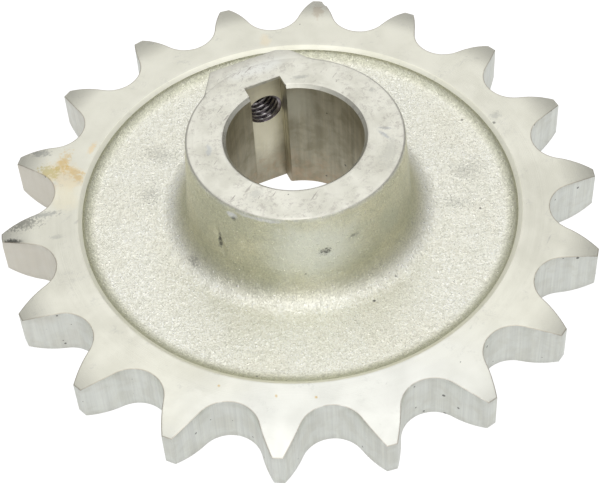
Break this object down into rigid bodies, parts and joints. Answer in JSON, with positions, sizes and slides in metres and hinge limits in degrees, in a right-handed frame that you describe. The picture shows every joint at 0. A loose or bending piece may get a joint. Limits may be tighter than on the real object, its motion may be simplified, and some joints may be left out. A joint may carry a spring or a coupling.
{
  "type": "roller chain sprocket",
  "caption": "Toothed wheel for one-inch roller chain, with a dished web, a one-sided hub with keyed bore, and a set screw in a pad on the hub.",
  "frame": {"origin": "on the axis of the bore, in the plane of the lower rim face, which is the middle of the box's bottom", "axes": "+Z along the bore axis, towards the long end of the hub; +Y towards the keyway and the set screw; +X completes the right-handed frame"},
  "size_m": [0.1568, 0.1558, 0.0396],
  "materials": {
    "zinc_machined": "turned and milled faces under pale zinc plating, satin, with dark pits and a few rust stains",
    "zinc_cast": "shot-blasted casting skin under pale zinc plating, fine sparkling grain, slightly yellow-green",
    "dark_steel": "dark oiled steel, semi-gloss"
  },
  "bodies": {
    "casting": {"toothed_rim": "zinc_machined", "web_plate": "zinc_cast", "hub": "zinc_cast"},
    "screw": {"set_screw": "dark_steel"}
  },
  "joints": [
    {"name": "set_screw_travel", "type": "slide", "parent": "casting", "child": "screw", "axis": [0, -1, 0], "range_m": [0, 0.0075]}
  ]
}
